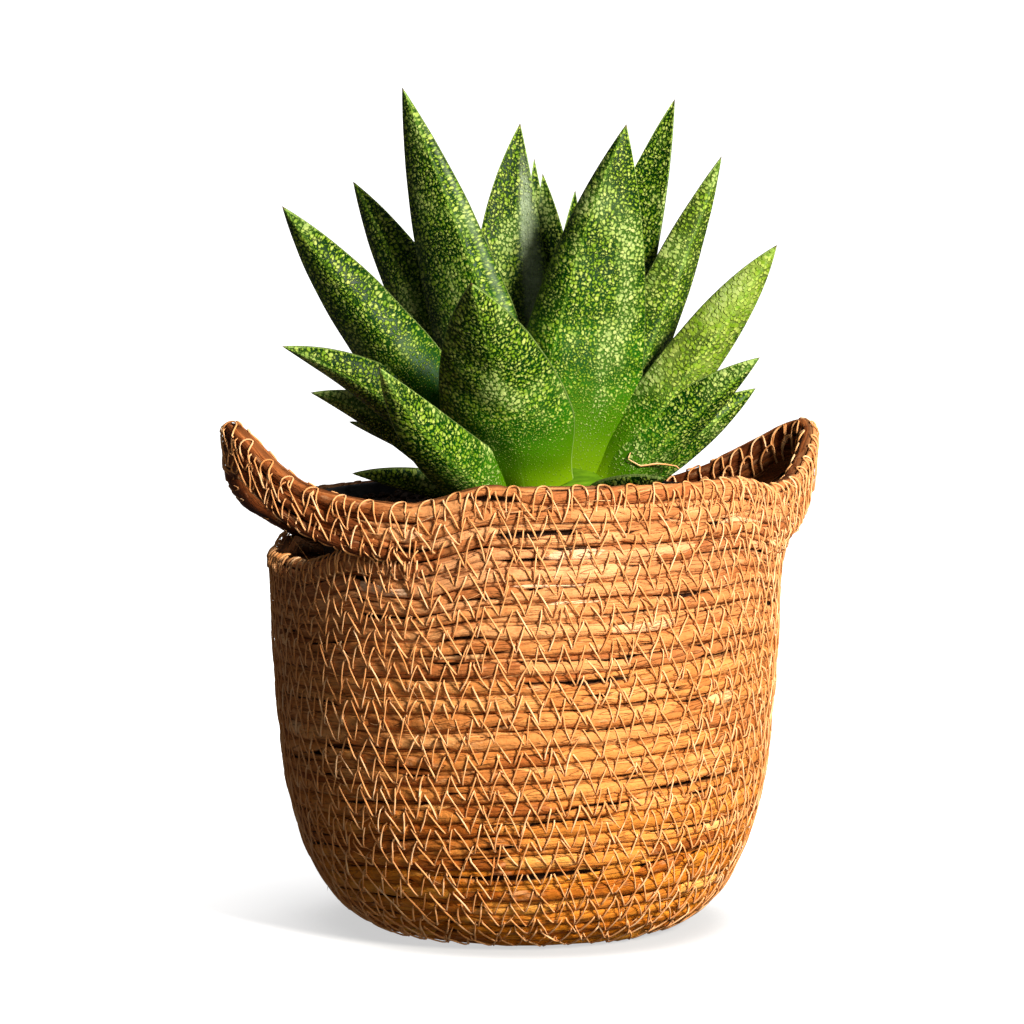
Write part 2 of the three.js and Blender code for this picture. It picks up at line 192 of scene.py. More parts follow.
class Shape:
    """Collects grids of points, with a vector or two at each point, into one mesh."""

    def __init__(self):
        self.points, self.faces, self.extras, self.count = [], [], {}, 0

    def grid(self, points, closed=False, keep=None, **extras):
        """points is rows x columns x 3. closed joins the last column to the first. keep marks the
        faces that stay."""
        rows, columns = points.shape[:2]
        index = self.count + np.arange(rows * columns).reshape(rows, columns)
        if closed:
            index = np.hstack([index, index[:, :1]])
        quads = np.stack([index[:-1, :-1], index[:-1, 1:], index[1:, 1:], index[1:, :-1]], -1)
        if keep is not None:
            quads = quads[keep]
        self.faces.append(quads.reshape(-1, 4))
        self.points.append(points.reshape(-1, 3))
        for name, value in extras.items():
            value = np.broadcast_to(value, (rows, columns, 3)).reshape(-1, 3)
            self.extras.setdefault(name, []).append(value)
        self.count += rows * columns

    def built(self, name, material):
        """An object of all the grids, without the points that no face uses."""
        points = np.vstack(self.points) * MM
        faces = np.vstack(self.faces)
        used = np.zeros(len(points), bool)
        used[faces] = True
        new_index = np.cumsum(used) - 1
        mesh = bpy.data.meshes.new(name)
        mesh.from_pydata(points[used].tolist(), [], new_index[faces].tolist())
        for extra, values in self.extras.items():
            attribute = mesh.attributes.new(extra, "FLOAT_VECTOR", "POINT")
            attribute.data.foreach_set("vector", np.vstack(values)[used].astype(np.float32).ravel())
        mesh.polygons.foreach_set("use_smooth", np.ones(len(mesh.polygons), bool))
        mesh.materials.append(material)
        return add_object(name, mesh)

    def piece(self, name, material, slot, nodes=()):
        """Builds a piece of the object, which replaces the CAD nodes that are named."""
        piece = self.built(name, material)
        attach(piece, "root")
        if nodes:
            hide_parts(*nodes)


# Materials
def srgb(red, green, blue):
    def linear(value):
        value /= 255
        return value / 12.92 if value <= 0.04045 else ((value + 0.055) / 1.055) ** 2.4

    return (linear(red), linear(green), linear(blue), 1)


class Paint:
    """A material's node tree, with short calls for the nodes that it is made of."""

    def __init__(self, name):
        self.material = bpy.data.materials.new(name)
        self.material.use_nodes = True
        self.tree = self.material.node_tree
        self.tree.nodes.clear()

    def node(self, kind, values=None, out=0, **settings):
        node = self.tree.nodes.new(kind)
        for key, value in settings.items():
            setattr(node, key, value)
        for key, value in (values or {}).items():
            if isinstance(value, bpy.types.NodeSocket):
                self.tree.links.new(value, node.inputs[key])
            else:
                node.inputs[key].default_value = value
        return node.outputs[out]

    def attribute(self, name):
        return self.node("ShaderNodeAttribute", attribute_name=name, out="Vector")

    def split(self, vector):
        node = self.tree.nodes.new("ShaderNodeSeparateXYZ")
        self.tree.links.new(vector, node.inputs[0])
        return node.outputs

    def stretch(self, vector, scale):
        return self.node("ShaderNodeVectorMath", {0: vector, 1: scale}, operation="MULTIPLY")

    def join(self, x, y, z):
        return self.node("ShaderNodeCombineXYZ", {0: x, 1: y, 2: z})

    def place(self):
        """The place on the object, in metres."""
        return self.node("ShaderNodeTexCoord", out="Object")

    def noise(self, vector, scale=1.0, detail=2, rough=0.5, out=0):
        values = {"Vector": vector, "Scale": scale, "Detail": detail, "Roughness": rough}
        return self.node("ShaderNodeTexNoise", values, out=out)

    def long_noise(self, vector, stretch, detail=2, rough=0.5):
        return self.noise(self.stretch(vector, stretch), 1.0, detail, rough)

    def cells(self, vector, scale, random=1.0, dimensions="2D", out="Distance"):
        return self.node("ShaderNodeTexVoronoi", {"Vector": vector, "Scale": scale, "Randomness": random},
                         voronoi_dimensions=dimensions, out=out)

    def math(self, operation, first, second=0.5, third=0.0):
        return self.node("ShaderNodeMath", {0: first, 1: second, 2: third}, operation=operation)

    def times(self, first, second):
        return self.math("MULTIPLY", first, second)

    def plus(self, first, second):
        return self.math("ADD", first, second)

    def minus(self, first, second):
        return self.math("SUBTRACT", first, second)

    def span(self, value, low, high, out_low=0.0, out_high=1.0, soft=True):
        """value from low to high becomes out_low to out_high, and stays there past them."""
        return self.node("ShaderNodeMapRange", {
            "Value": value, "From Min": low, "From Max": high, "To Min": out_low, "To Max": out_high,
        }, interpolation_type="SMOOTHSTEP" if soft else "LINEAR", clamp=True)

    def mix(self, share, first, second, blend="MIX"):
        node = self.tree.nodes.new("ShaderNodeMix")
        node.data_type = "RGBA"
        node.blend_type = blend
        for socket, value in zip((node.inputs[0], node.inputs[6], node.inputs[7]), (share, first, second)):
            if isinstance(value, bpy.types.NodeSocket):
                self.tree.links.new(value, socket)
            else:
                socket.default_value = value
        return node.outputs[2]

    def tint(self, colour, share, *other):
        """colour goes over to another one, of three numbers from 0 to 255, by a share."""
        return self.mix(share, colour, srgb(*other))

    def tones(self, share, *stops):
        """stops are (place, red, green, blue), with colours from 0 to 255."""
        node = self.tree.nodes.new("ShaderNodeValToRGB")
        elements = node.color_ramp.elements
        while len(elements) < len(stops):
            elements.new(0.5)
        for element, (place, *colour) in zip(elements, stops):
            element.position = place
            element.color = srgb(*colour)
        self.tree.links.new(share, node.inputs[0])
        return node.outputs[0]

    def bump(self, height, depth, strength=1.0):
        """height from 0 to 1 stands depth millimetres proud."""
        return self.node("ShaderNodeBump", {"Height": height, "Distance": depth * MM, "Strength": strength})

    def finish(self, colour, roughness, gloss, **more):
        values = {"Base Color": colour, "Roughness": roughness, "Specular IOR Level": gloss, **more}
        shader = self.node("ShaderNodeBsdfPrincipled", values)
        output = self.tree.nodes.new("ShaderNodeOutputMaterial")
        self.tree.links.new(shader, output.inputs["Surface"])
        return self.material


def leaf_paint():
    """Dark green skin crowded with raised pale spots, which run together into pale patches and grow fine
    and sparse towards a smooth yellow-green foot. Its edges are thin and paler, its point dry and brown."""
    apart = 211.0  # millimetres between two leaves in the pattern, so that no two are alike
    spots_in_mm, specks_in_mm = 0.78, 1.5
    paint = Paint("leaf_skin")
    across, along, leaf = paint.split(paint.attribute("skin"))  # in millimetres, and the leaf's number
    share, edge, keel = paint.split(paint.attribute("place"))  # foot to tip, to the edge, to the keel
    bare, washed, plain_foot = paint.split(paint.attribute("bare"))
    where = paint.join(paint.math("MULTIPLY_ADD", leaf, apart, across), along, 0.0)

    patches = paint.long_noise(where, (0.075, 0.04, 1.0))
    bands = paint.long_noise(where, (0.045, 0.12, 1.0), 2, 0.6)
    fine = paint.noise(where, 0.45)

    # The green between the spots, from foot to tip
    green = paint.tones(share, (0.0, 92, 122, 0), (0.14, 62, 104, 0), (0.3, 26, 82, 0), (0.52, 2, 50, 0),
                        (0.8, 2, 38, 0), (1.0, 12, 46, 0))
    grown = paint.span(share, 0.16, 0.36)
    green = paint.tint(green, paint.times(grown, paint.span(bands, 0.6, 0.4, 0.0, 0.55)), 3, 32, 0)
    green = paint.tint(green, paint.times(grown, paint.span(patches, 0.48, 0.68, 0.0, 0.6)), 64, 98, 20)
    washed = paint.times(washed, paint.span(share, 0.3, 0.6))
    green = paint.tint(green, paint.times(washed, paint.span(patches, 0.34, 0.56, 0.1, 0.8)), 160, 184, 76)

    bend = paint.stretch(paint.noise(where, 0.42, 1, out="Color"), (1.5, 1.5, 0.0))
    wander = paint.node("ShaderNodeVectorMath", {0: where, 1: bend}, operation="ADD")
    spot_place = paint.stretch(wander, (1.0, 0.86, 1.0))
    # How crowded the spots are: none at the foot, and more in the bands, in the patches and towards the tip
    spotted = paint.minus(share, plain_foot)
    crowd = paint.plus(paint.span(spotted, 0.08, 0.4, 0.0, 0.62), paint.span(bands, 0.36, 0.62, 0.0, 0.3))
    crowd = paint.plus(crowd, paint.span(patches, 0.5, 0.7, 0.0, 0.3))
    crowd = paint.plus(crowd, paint.times(washed, 0.5))
    crowd = paint.times(crowd, paint.span(spotted, 0.05, 0.22))
    crowd = paint.times(crowd, paint.span(bare, 0.2, 0.9, 1.0, 0.3))
    reach = paint.span(crowd, 0.0, 1.1, 0.08, 0.44, soft=False)
    reach = paint.math("MULTIPLY_ADD", washed, 0.07, reach)
    coarse = paint.cells(spot_place, spots_in_mm, 0.8)
    pick, tint, _ = paint.split(coarse.node.outputs["Color"])
    size = paint.span(pick, 0.0, 1.0, 0.6, 1.25, soft=False)
    spot = paint.span(paint.minus(paint.times(reach, size), coarse), -0.1, 0.13)
    small = paint.cells(spot_place, specks_in_mm, 0.9)
    small_size = paint.span(paint.split(small.node.outputs["Color"])[0], 0.0, 1.0, 0.2, 0.8, soft=False)
    few = paint.span(spotted, 0.02, 0.3, 0.1, 0.55)
    speck = paint.span(paint.minus(paint.times(few, small_size), small), -0.06, 0.1, 0.0, 0.55)
    spots = paint.math("MAXIMUM", spot, speck)

    pale = paint.tones(tint, (0.0, 92, 126, 12), (0.5, 134, 158, 42), (1.0, 174, 186, 92))
    pale = paint.tint(pale, paint.span(patches, 0.5, 0.68, 0.0, 0.6), 176, 188, 120)
    pale = paint.tint(pale, paint.span(fine, 0.35, 0.7, 0.0, 0.35), 78, 118, 8)
    colour = paint.mix(paint.times(spots, 0.9), green, pale)
    colour = paint.tint(colour, paint.times(bare, paint.span(fine, 0.3, 0.7, 0.5, 0.9)), 172, 186, 150)
    colour = paint.tint(colour, paint.times(paint.span(edge, 0.5, 0.2), 0.7), 150, 176, 92)
    colour = paint.tint(colour, paint.times(paint.span(keel, 0.8, 0.2), 0.16), 130, 176, 60)
    colour = paint.tint(colour, paint.span(share, 0.982, 0.995), 92, 80, 44)

    fibres = paint.long_noise(where, (3.0, 0.12, 1.0))
    height = paint.plus(paint.times(spots, 0.85), paint.times(fibres, 0.15))
    return paint.finish(colour, paint.span(spots, 0.0, 1.0, 0.42, 0.58), 0.1, Normal=paint.bump(height, 0.4))


def seagrass_paint():
    """A blade of dry seagrass: long fibres, creases and blotches and its own tone. Painted shade darkens it
    at its edges, where it sits deep between two rows and at its ends, where it dives into the coil."""
    paint = Paint("seagrass")
    along, across, number = paint.split(paint.attribute("grain"))  # in millimetres, and the blade's number
    tone, edge, gold = paint.split(paint.attribute("strand"))
    seat, ends, _ = paint.split(paint.attribute("seat"))
    where = paint.join(along, across, paint.times(number, 3.7))

    tan = paint.tones(tone, (0.0, 96, 46, 16), (0.3, 156, 88, 44), (0.6, 200, 134, 82),
                      (0.86, 222, 162, 112), (1.0, 236, 196, 160))
    golden = paint.tones(tone, (0.0, 88, 36, 0), (0.35, 154, 78, 2), (0.65, 204, 122, 16),
                         (1.0, 234, 170, 66))
    body = paint.mix(gold, tan, golden)
    blotch = paint.long_noise(where, (0.12, 0.4, 1.0), 3, 0.6)
    body = paint.tint(body, paint.span(blotch, 0.54, 0.76, 0.0, 0.5), 124, 66, 26)
    body = paint.tint(body, paint.span(blotch, 0.44, 0.26, 0.0, 0.35), 234, 182, 132)
    fibre = paint.long_noise(where, (0.34, 1.3, 1.0), 4, 0.68)
    streaks = paint.tones(fibre, (0.3, 177.1, 155.5, 129.1), (0.45, 245.8, 241, 234.9), (0.6, 255, 255, 255))
    body = paint.mix(0.6, body, streaks, "MULTIPLY")
    crease = paint.long_noise(where, (0.05, 0.7, 1.0), 1)
    crease = paint.span(paint.math("ABSOLUTE", paint.minus(crease, 0.5)), 0.0, 0.022, 1.0, 0.0)
    body = paint.tint(body, paint.times(crease, 0.5), 96, 44, 14)
    # Painted shade at the blade's edges, deep between the rows and at its sunk ends
    body = paint.tint(body, paint.span(edge, 0.82, 1.0, 0.0, 0.9), 52, 20, 2)
    body = paint.tint(body, paint.span(seat, 0.55, 1.0, 0.0, 0.8), 50, 18, 2)
    body = paint.tint(body, paint.span(ends, 0.35, 0.0, 0.0, 0.6), 72, 32, 10)

    crumple = paint.long_noise(where, (0.42, 0.8, 1.0), 3, 0.6)
    height = paint.plus(paint.minus(fibre, paint.times(crease, 0.6)), crumple)
    return paint.finish(body, paint.span(fibre, 0.3, 0.7, 0.75, 0.6), 0.12, Normal=paint.bump(height, 0.5))


def thread_paint():
    """Pale twisted thread."""
    paint = Paint("thread")
    along, turn, number = paint.split(paint.attribute("grain"))
    twist = paint.node("ShaderNodeTexWave", {
        "Vector": paint.join(paint.plus(along, paint.times(turn, 0.35)), turn, number),
        "Scale": 0.55, "Distortion": 1.0, "Detail": 1.0,
    }, out="Fac")
    tone = paint.long_noise(paint.join(along, turn, number), (0.1, 0.1, 7.0))
    colour = paint.tones(tone, (0.3, 196, 126, 66), (0.52, 226, 162, 104), (0.72, 246, 204, 156))
    colour = paint.tint(colour, paint.times(twist, 0.18), 140, 84, 40)
    return paint.finish(colour, 0.75, 0.1, Normal=paint.bump(twist, 0.06, 0.5))


def core_shade_paint():
    """The shaded inside of the coil, between its blades."""
    paint = Paint("coil_core_shade")
    grain = paint.noise(paint.place(), 900, 3)
    colour = paint.tones(grain, (0.3, 24, 8, 2), (0.7, 62, 30, 10))
    return paint.finish(colour, 0.85, 0.2, Normal=paint.bump(grain, 0.3))


def pot_paint():
    """Thin black plastic, half gloss, with fine scratches and a little dried soil."""
    paint = Paint("nursery_plastic")
    place = paint.place()
    scuff = paint.long_noise(place, (260, 260, 2400), 3, 0.6)
    dust = paint.noise(place, 160, 4, 0.65)
    colour = paint.tint(srgb(7, 7, 7), paint.span(dust, 0.58, 0.78, 0.0, 0.25), 46, 36, 26)
    rough = paint.plus(paint.span(scuff, 0.3, 0.7, 0.36, 0.52), paint.span(dust, 0.5, 0.7, 0.0, 0.3))
    return paint.finish(colour, rough, 0.15, Normal=paint.bump(scuff, 0.05, 0.4))


def soil_paint():
    """Dark crumbly soil with lighter flecks of bark and grit."""
    paint = Paint("soil")
    place = paint.place()
    crumbs = paint.cells(place, 420, 1.0, "3D")
    grain = paint.noise(place, 700, 4, 0.65)
    fleck = paint.split(paint.cells(place, 260, 1.0, "3D", out="Color"))[0]
    colour = paint.tones(grain, (0.25, 22, 14, 9), (0.55, 52, 35, 23), (0.8, 84, 60, 40))
    colour = paint.tint(colour, paint.span(fleck, 0.9, 0.94, 0.0, 0.8), 122, 92, 62)
    height = paint.plus(paint.times(crumbs, 0.6), grain)
    return paint.finish(colour, 0.92, 0.25, Normal=paint.bump(height, 1.2, 0.9))


def stem_paint():
    """Pale green stem with the scars of old leaves."""
    paint = Paint("stem")
    rings = paint.long_noise(paint.place(), (120, 120, 900), 3)
    colour = paint.tones(rings, (0.3, 54, 86, 4), (0.6, 82, 116, 8), (0.8, 110, 126, 34))
    return paint.finish(colour, 0.55, 0.15, Normal=paint.bump(rings, 0.4, 0.7))


# Leaves
def dome_rise(share):
    """The stem's height above the soil, at a share of its radius."""
    return CROWN.shoulder + (CROWN.rise - CROWN.shoulder) * (1 - share * share) ** 0.7


def leaf_shape(leaf, number, steps=64, upper=15, lower=25):
    """The points of one leaf, ring by ring from its foot to its tip, with what its paint reads."""
    turn = math.radians(leaf.turn)
    out = np.array([math.cos(turn), math.sin(turn), 0.0])
    up = np.array([0.0, 0.0, 1.0])
    centre = np.array([CROWN.x, CROWN.y, SOIL_TOP], float)
    foot = centre + out * leaf.foot + up * (dome_rise(leaf.foot / CROWN.radius) - LEAF_SUNK)
    tip = centre + out * leaf.reach + up * leaf.rise
    side = np.cross(up, out)
    over = -np.cross(unit(tip - foot), side)
    if over[2] < 0:
        over = -over
    bend = (foot + tip) / 2 + over * 2 * leaf.bow + side * 2 * leaf.sway

    # Down the leaf: its middle line, the way that its upper face looks, and its size
    t = 1 - (1 - np.linspace(0, 1, steps)[:, None]) ** 1.15
    t[-1] = 0.9995
    line = (1 - t) ** 2 * foot + 2 * t * (1 - t) * bend + t * t * tip
    along = unit((1 - t) * (bend - foot) + t * (tip - bend))
    face = unit(over - along * (along @ over)[:, None])
    roll = math.radians(leaf.roll)
    face = face * math.cos(roll) + np.cross(along, face) * math.sin(roll)
    across = np.cross(along, face)
    full = np.clip(1 - t ** leaf.taper, 1e-4, 1)
    widening = NECK_WIDTH + (1 - NECK_WIDTH) * smooth(t / NECK_UNTIL)
    thickening = NECK_DEPTH + (1 - NECK_DEPTH) * smooth(t / NECK_DEPTH_UNTIL)
    wide = 0.5 * leaf.wide * full * widening
    deep = leaf.thick * full ** 0.85 * thickening
    hollow = leaf.thick * LEAF_HOLLOW * full
    edge = np.minimum(LEAF_EDGE, 0.15 + 0.3 * full) * smooth(full / 0.06)

    # Round the section: over the upper face, round one edge, under the keel and round the other edge
    above = np.linspace(-0.985, 0.985, upper)
    below = np.sin(np.linspace(1, -1, lower) * math.pi / 2) * 0.99
    keel = leaf.keel
    from_keel = np.where(below > keel, (below - keel) / (1 - keel), (keel - below) / (1 + keel))
    drop = (1 - np.clip(from_keel, 0, 1) ** 1.45) ** 0.75
    level = np.zeros((steps, 1))
    a_share = np.concatenate([above, [1], below, [-1]])
    which_face = np.concatenate([np.zeros(upper), [0.5], np.ones(lower), [0.5]])
    a = a_share * wide
    n = np.hstack([edge - (edge + hollow) * (1 - np.abs(above) ** 2.2), level,
                   -edge - (deep - edge) * drop, level])
    to_rim = np.maximum(wide - np.abs(a), 0) + 0.35 * np.abs(n) * (np.abs(a_share) > 0.9)
    to_keel = np.full(a.shape, FAR_FROM_KEEL)
    to_keel[:, upper + 1:-1] = np.abs(below - keel) * wide

    # Slow waves make the faces uneven
    rng = np.random.default_rng(100 + number)
    reach = t * np.linalg.norm(tip - foot)
    wave = 0
    for _ in range(4):
        pitch, lean, phase = rng.uniform(18, 45), rng.uniform(-1, 1), rng.uniform(0, WAVE)
        wave = wave + np.sin((reach + lean * a) * 2 * math.pi / pitch + phase)
    n = n + wave * 0.1 * (wide / 8) * smooth((1 - t) / 0.2) * smooth(t / 0.1)
    points = line[:, None, :] + across[:, None, :] * a[..., None] + face[:, None, :] * n[..., None]

    bare_face, bare_low, bare_high, plain = BARE.get(number, (0, 2, 3, 0))
    bare = smooth((a_share - bare_low) / 0.12) * smooth((bare_high - a_share) / 0.12)
    bare = bare * plain * (which_face == bare_face) * smooth(t / 0.3) * smooth((0.97 - t) / 0.2)
    return {
        "points": points,
        "skin": triples(a + FACES_APART * which_face, reach, number),
        "place": triples(t, to_rim, to_keel),
        "bare": triples(bare, WASHED.get(number, 0), PLAIN_FOOT.get(number, 0)),
    }


def add_leaves(material):
    for number, leaf in enumerate(LEAVES, 1):
        shape = Shape()
        shape.grid(closed=True, **leaf_shape(leaf, number))
        name = f"leaf_{number:02d}"
        shape.piece(name + "_skin", material, "leaf", [name])


# Basket surfaces
def body_radius(z):
    return RADIUS - BELLY_IN * np.exp(-z / BELLY_RISE) - HEEL_IN * np.exp(-z / HEEL_RISE)


PROFILE_Z = np.linspace(0, BODY_FULL, 401)
PROFILE_S = sums(np.hypot(np.diff(PROFILE_Z), np.diff(body_radius(PROFILE_Z))))
BODY_LENGTH = PROFILE_S[-1]
BODY_ROWS = round(BODY_LENGTH / ROW)
BODY_PITCH = BODY_LENGTH / BODY_ROWS


def handle_share(degrees, handle):
    """1 at a handle's tip and 0 where the handle ends."""
    away = turn_from(degrees, handle.at)

    def stretched(d):
        return 1 / np.cos(np.radians(BAND_SPAN - d)) - 1

    soft = np.hypot(away, BAND_BLUNT) - BAND_BLUNT * smooth(away / BAND_SPAN)
    share = np.maximum(0, stretched(np.minimum(BAND_SPAN, soft)) / stretched(BAND_BLUNT))
    return np.where(away >= BAND_SPAN, 0, share)


def dip_here(degrees):
    """How much lower the rim lies in its dips."""
    turn = np.asarray(degrees, float) % 360
    return sum(dip.low * smooth((turn - dip.start) / dip.ease) *
               smooth((dip.until - turn) / dip.ease) for dip in DIPS)


def band_foot(degrees):
    return HEIGHT - BAND_TALL - dip_here(degrees)


def band_under(degrees):
    """The height of the rim band's underside, with its handles."""
    under = band_foot(degrees)
    for h in HANDLES:
        share = handle_share(degrees, h)
        under = under + h.lift * share ** 2 + BAND_TALL * (1 - h.tall) * smooth(BAND_NARROWING * share)
    return under


def body_top(degrees):
    """The height of the body's upper edge, which drops away under the handles."""
    hang = 0
    for h in HANDLES:
        turn = (np.asarray(degrees, float) - h.at + 540) % 360 - 180
        opens = smooth((turn + h.before) / h.ease_before)
        hang = hang + h.dip * opens * smooth((h.after - turn) / h.ease_after)
    under, level = band_under(degrees), HEIGHT - BAND_TALL - hang
    round_off = BLEND * np.minimum(1, hang / BLEND_FROM)
    return (under + level) / 2 - np.hypot((under - level) / 2, round_off) - GAP


def body_point(degrees, s, out=0.0):
    """A point on the outside of the body, s along it from the foot, with out millimetres added."""
    degrees, s = numbers(degrees, s)
    share = np.clip(s / BODY_LENGTH, 0, 1)
    climb = CLIMB * np.cos(np.radians(degrees - CLIMB_AT)) * np.sqrt(np.sin(np.pi * share) + 1e-9)
    z = np.interp(s + climb * (share > 0) * (share < 1), PROFILE_S, PROFILE_Z)
    slope = np.arctan(body_radius(z + 0.5) - body_radius(z - 0.5))
    flare = sum(h.flare * handle_share(degrees, h) for h in HANDLES)
    radius = body_radius(z) + flare * smooth(1 - (BODY_FULL - z) / FLARE_RISE) + out * np.cos(slope)
    height = z + (body_top(degrees) - BODY_FULL) * smooth(1 - (BODY_FULL - z) / (SETTLE * BODY_FULL))
    height = height - out * np.sin(slope) + np.maximum(0, s - BODY_LENGTH)
    return radius, height


def band_point(degrees, across, up):
    """A point of the rim band's section: across from its middle outwards, and up from its foot."""
    degrees, across, up = numbers(degrees, across, up)
    bulge = lost = stand = lift = lean = 0
    for h in HANDLES:
        share = handle_share(degrees, h)
        bulge = bulge + share
        lost = lost + (1 - h.tall) * smooth(BAND_NARROWING * share)
        stand = stand + h.out * share
        lift = lift + h.lift * share ** 2
        lean = lean + np.radians(h.lean * share)
    half = BAND_THICK / 2
    up = up + (BAND_TALL - up) * lost
    radius = RADIUS - half + stand
    radius = radius + across * np.cos(lean) + (up - BAND_TALL / 2 + BAND_TIP_OUT * bulge) * np.sin(lean)
    height = band_foot(degrees) + lift + up * np.cos(lean) + (half - across) * np.sin(lean)
    return radius, height


def to_xyz(degrees, radius, height):
    angle = np.radians(degrees)
    return triples(radius * np.cos(angle), radius * np.sin(angle), height)


def waves(rng, degrees, size, counts=(2, 3, 5, 8, 13)):
    """A smooth random line round the basket, that meets itself."""
    total = 0
    for count in counts:
        wave = rng.normal() * np.sin(np.radians(count * degrees) + rng.uniform(0, WAVE))
        total = total + wave / count ** 0.5
    return size * total


RNG = np.random.default_rng(7)
FINE = np.arange(0, 360, 0.5)
LUMPS = (3, 5, 8, 13, 21, 34)


def uneven_lines(count, pitch):
    """The lines between rows, from the lowest up, each a little uneven but the first and the last."""
    lines = [np.full(FINE.shape, row * pitch) for row in range(count + 1)]
    for row in range(1, count):
        lines[row] = lines[row] + waves(RNG, FINE, 0.22, LUMPS) + RNG.normal() * 0.2
    return lines


BODY_LINES = uneven_lines(BODY_ROWS, BODY_PITCH)
BAND_LINES = uneven_lines(BAND_ROWS, BAND_ROW)
# How much each row, from the foot to the rim, stands out or in along its turn
BULGES = [waves(RNG, FINE, 0.17, LUMPS) + RNG.uniform(-0.3, 0.15) for _ in range(BODY_ROWS + BAND_ROWS)]


def line_at(line, degrees):
    return np.interp(np.asarray(degrees) % 360, np.append(FINE, 360), np.append(line, line[0]))


def squircle(angle, power=2.5):
    """A rounded square's point at an angle, as shares of its two half sizes."""
    c, s = np.cos(angle), np.sin(angle)
    return np.sign(c) * np.abs(c) ** (2 / power), np.sign(s) * np.abs(s) ** (2 / power)


ROPE_HALF = 2.9


class Rope:
    """One row of the coil. frame(degrees) gives its centre and its outward and upward half sizes, each
    as a radius and a height."""

    def __init__(self, frame):
        self.frame = frame
        self.twist = waves(RNG, FINE, 0.35, (2, 3, 5, 7))

    def at(self, degrees, angle, proud=0.0):
        """Points on the rope at an angle round its section, 0 outwards and 90 degrees up."""
        x, y = squircle(angle)
        scale = 1 + proud / ROPE_HALF
        centre, outward, upward = self.frame(degrees)
        radius = centre[0] + (outward[0] * x + upward[0] * y) * scale
        height = centre[1] + (outward[1] * x + upward[1] * y) * scale
        return to_xyz(degrees, radius, np.maximum(height, 0.05))


def body_rope(row):
    half = WALL / 2 - 0.1

    def frame(degrees):
        low = np.array(body_point(degrees, line_at(BODY_LINES[row], degrees)))
        high = np.array(body_point(degrees, line_at(BODY_LINES[row + 1], degrees)))
        rise = high - low
        outward = np.array([rise[1], -rise[0]]) / np.hypot(*rise)
        bulge = line_at(BULGES[row], degrees)
        return (low + high) / 2 + outward * (bulge / 2 - half), outward * (half + bulge / 2), rise / 2

    return Rope(frame)


def band_rope(row):
    half = BAND_THICK / 2 - 0.3

    def middle(degrees, across, share):
        up = line_at(BAND_LINES[row], degrees) * (1 - share) + line_at(BAND_LINES[row + 1], degrees) * share
        return np.array(band_point(degrees, across, up))

    def frame(degrees):
        centre = middle(degrees, 0, 0.5)
        bulge = line_at(BULGES[BODY_ROWS + row], degrees)
        return centre, middle(degrees, half + bulge / 2, 0.5) - centre, middle(degrees, 0, 1) - centre

    return Rope(frame)


ACROSS = np.array([-1, -0.84, -0.45, 0, 0.45, 0.84, 1.0])  # the points across a blade
LANES = 4  # blades side by side round a rope
BRIGHT_SHARE = 0.035  # of the blades


def blade(shape, rope, turns, angle, half, own, step, seen, gold, radius, painted_shade):
    """One seagrass blade on a rope, from one direction to another, with ends that taper and dive. angle
    is its place round the rope and half its half width there."""
    length = (turns[1] - turns[0]) * radius / RADIAN
    t = np.linspace(0, 1, max(5, int(length / step)))
    degrees = turns[0] + (turns[1] - turns[0]) * t
    reach = t * length
    ends = inside_ends(reach, length, RNG.uniform(4.5, 11.0))
    kinks = sum(RNG.uniform(-0.5, 0.5) * np.sin(reach * WAVE / RNG.uniform(7, 26) + RNG.uniform(0, WAVE))
                for _ in range(3))
    half = half * (0.22 + 0.78 * ends) * (1 + 0.14 * kinks)
    middle = angle + line_at(rope.twist, degrees) + RNG.normal(0.5, 0.35) * (t - 0.5) + 0.05 * kinks
    angles = middle[:, None] + half[:, None] * ACROSS
    crease = RNG.uniform(0, 0.3) * np.exp(-((ACROSS - RNG.uniform(-0.6, 0.6)) / 0.22) ** 2)
    crown = RNG.uniform(0.3, 0.65) * (1 - np.abs(ACROSS) ** 2.4) - 0.6 * np.abs(ACROSS) ** 6 - crease
    proud = RNG.normal(0.0, 0.22) + 0.16 * kinks - 1.1 * (1 - ends)
    points = rope.at(degrees[:, None], angles, proud[:, None] + crown)
    facing = (angles + np.pi) % (2 * np.pi) - np.pi
    shown = (facing > seen[0]) & (facing < seen[1])
    keep = shown[:-1, :-1] | shown[1:, 1:]
    if not keep.any():
        return
    # Painted shade, taken off the blade's own tone
    if painted_shade is not None:
        own = own - painted_shade(degrees[:, None], facing)
    # strand's second number and seat tell the paint where painted shade falls: the blade's edges, deep
    # between rows and its sunk ends
    shape.grid(points, keep=keep,
               grain=triples(reach[:, None], half[:, None] * ACROSS * ROPE_HALF, RNG.uniform(0, 50)),
               strand=triples(own, np.abs(ACROSS) + 0 * reach[:, None], gold),
               seat=triples(np.abs(np.sin(facing)) ** 6, ends[:, None], 0.0))


def wind(shape, rope, step, seen, gold, radius=82.0, painted_shade=None):
    """Winds blades round a rope. step is the length of their facets, seen is the range of angles round
    the section that shows, in radians, and painted_shade how much darker a blade is painted, as shade, at a
    direction and an angle."""
    for lane in range(LANES):
        start = RNG.uniform(0, 360)
        end = start + 360
        while start < end:
            span = min(RNG.lognormal(3.2, 0.42) / radius * RADIAN, end - start)
            lap = RNG.uniform(3, 9) / radius * RADIAN
            own = np.clip(RNG.normal(0.57, 0.12), 0.08, 0.9)
            if RNG.random() < BRIGHT_SHARE:
                own = RNG.uniform(0.9, 1.0)
            angle = (lane + RNG.uniform(-0.25, 0.25)) * 2 * np.pi / LANES
            half = RNG.uniform(0.8, 1.2) * 3.6 / LANES
            turns = (start - lap, start + span + lap)
            blade(shape, rope, turns, angle, half, own, step, seen, gold, radius, painted_shade)
            start += span


BODY_ROPES = [body_rope(row) for row in range(BODY_ROWS)]


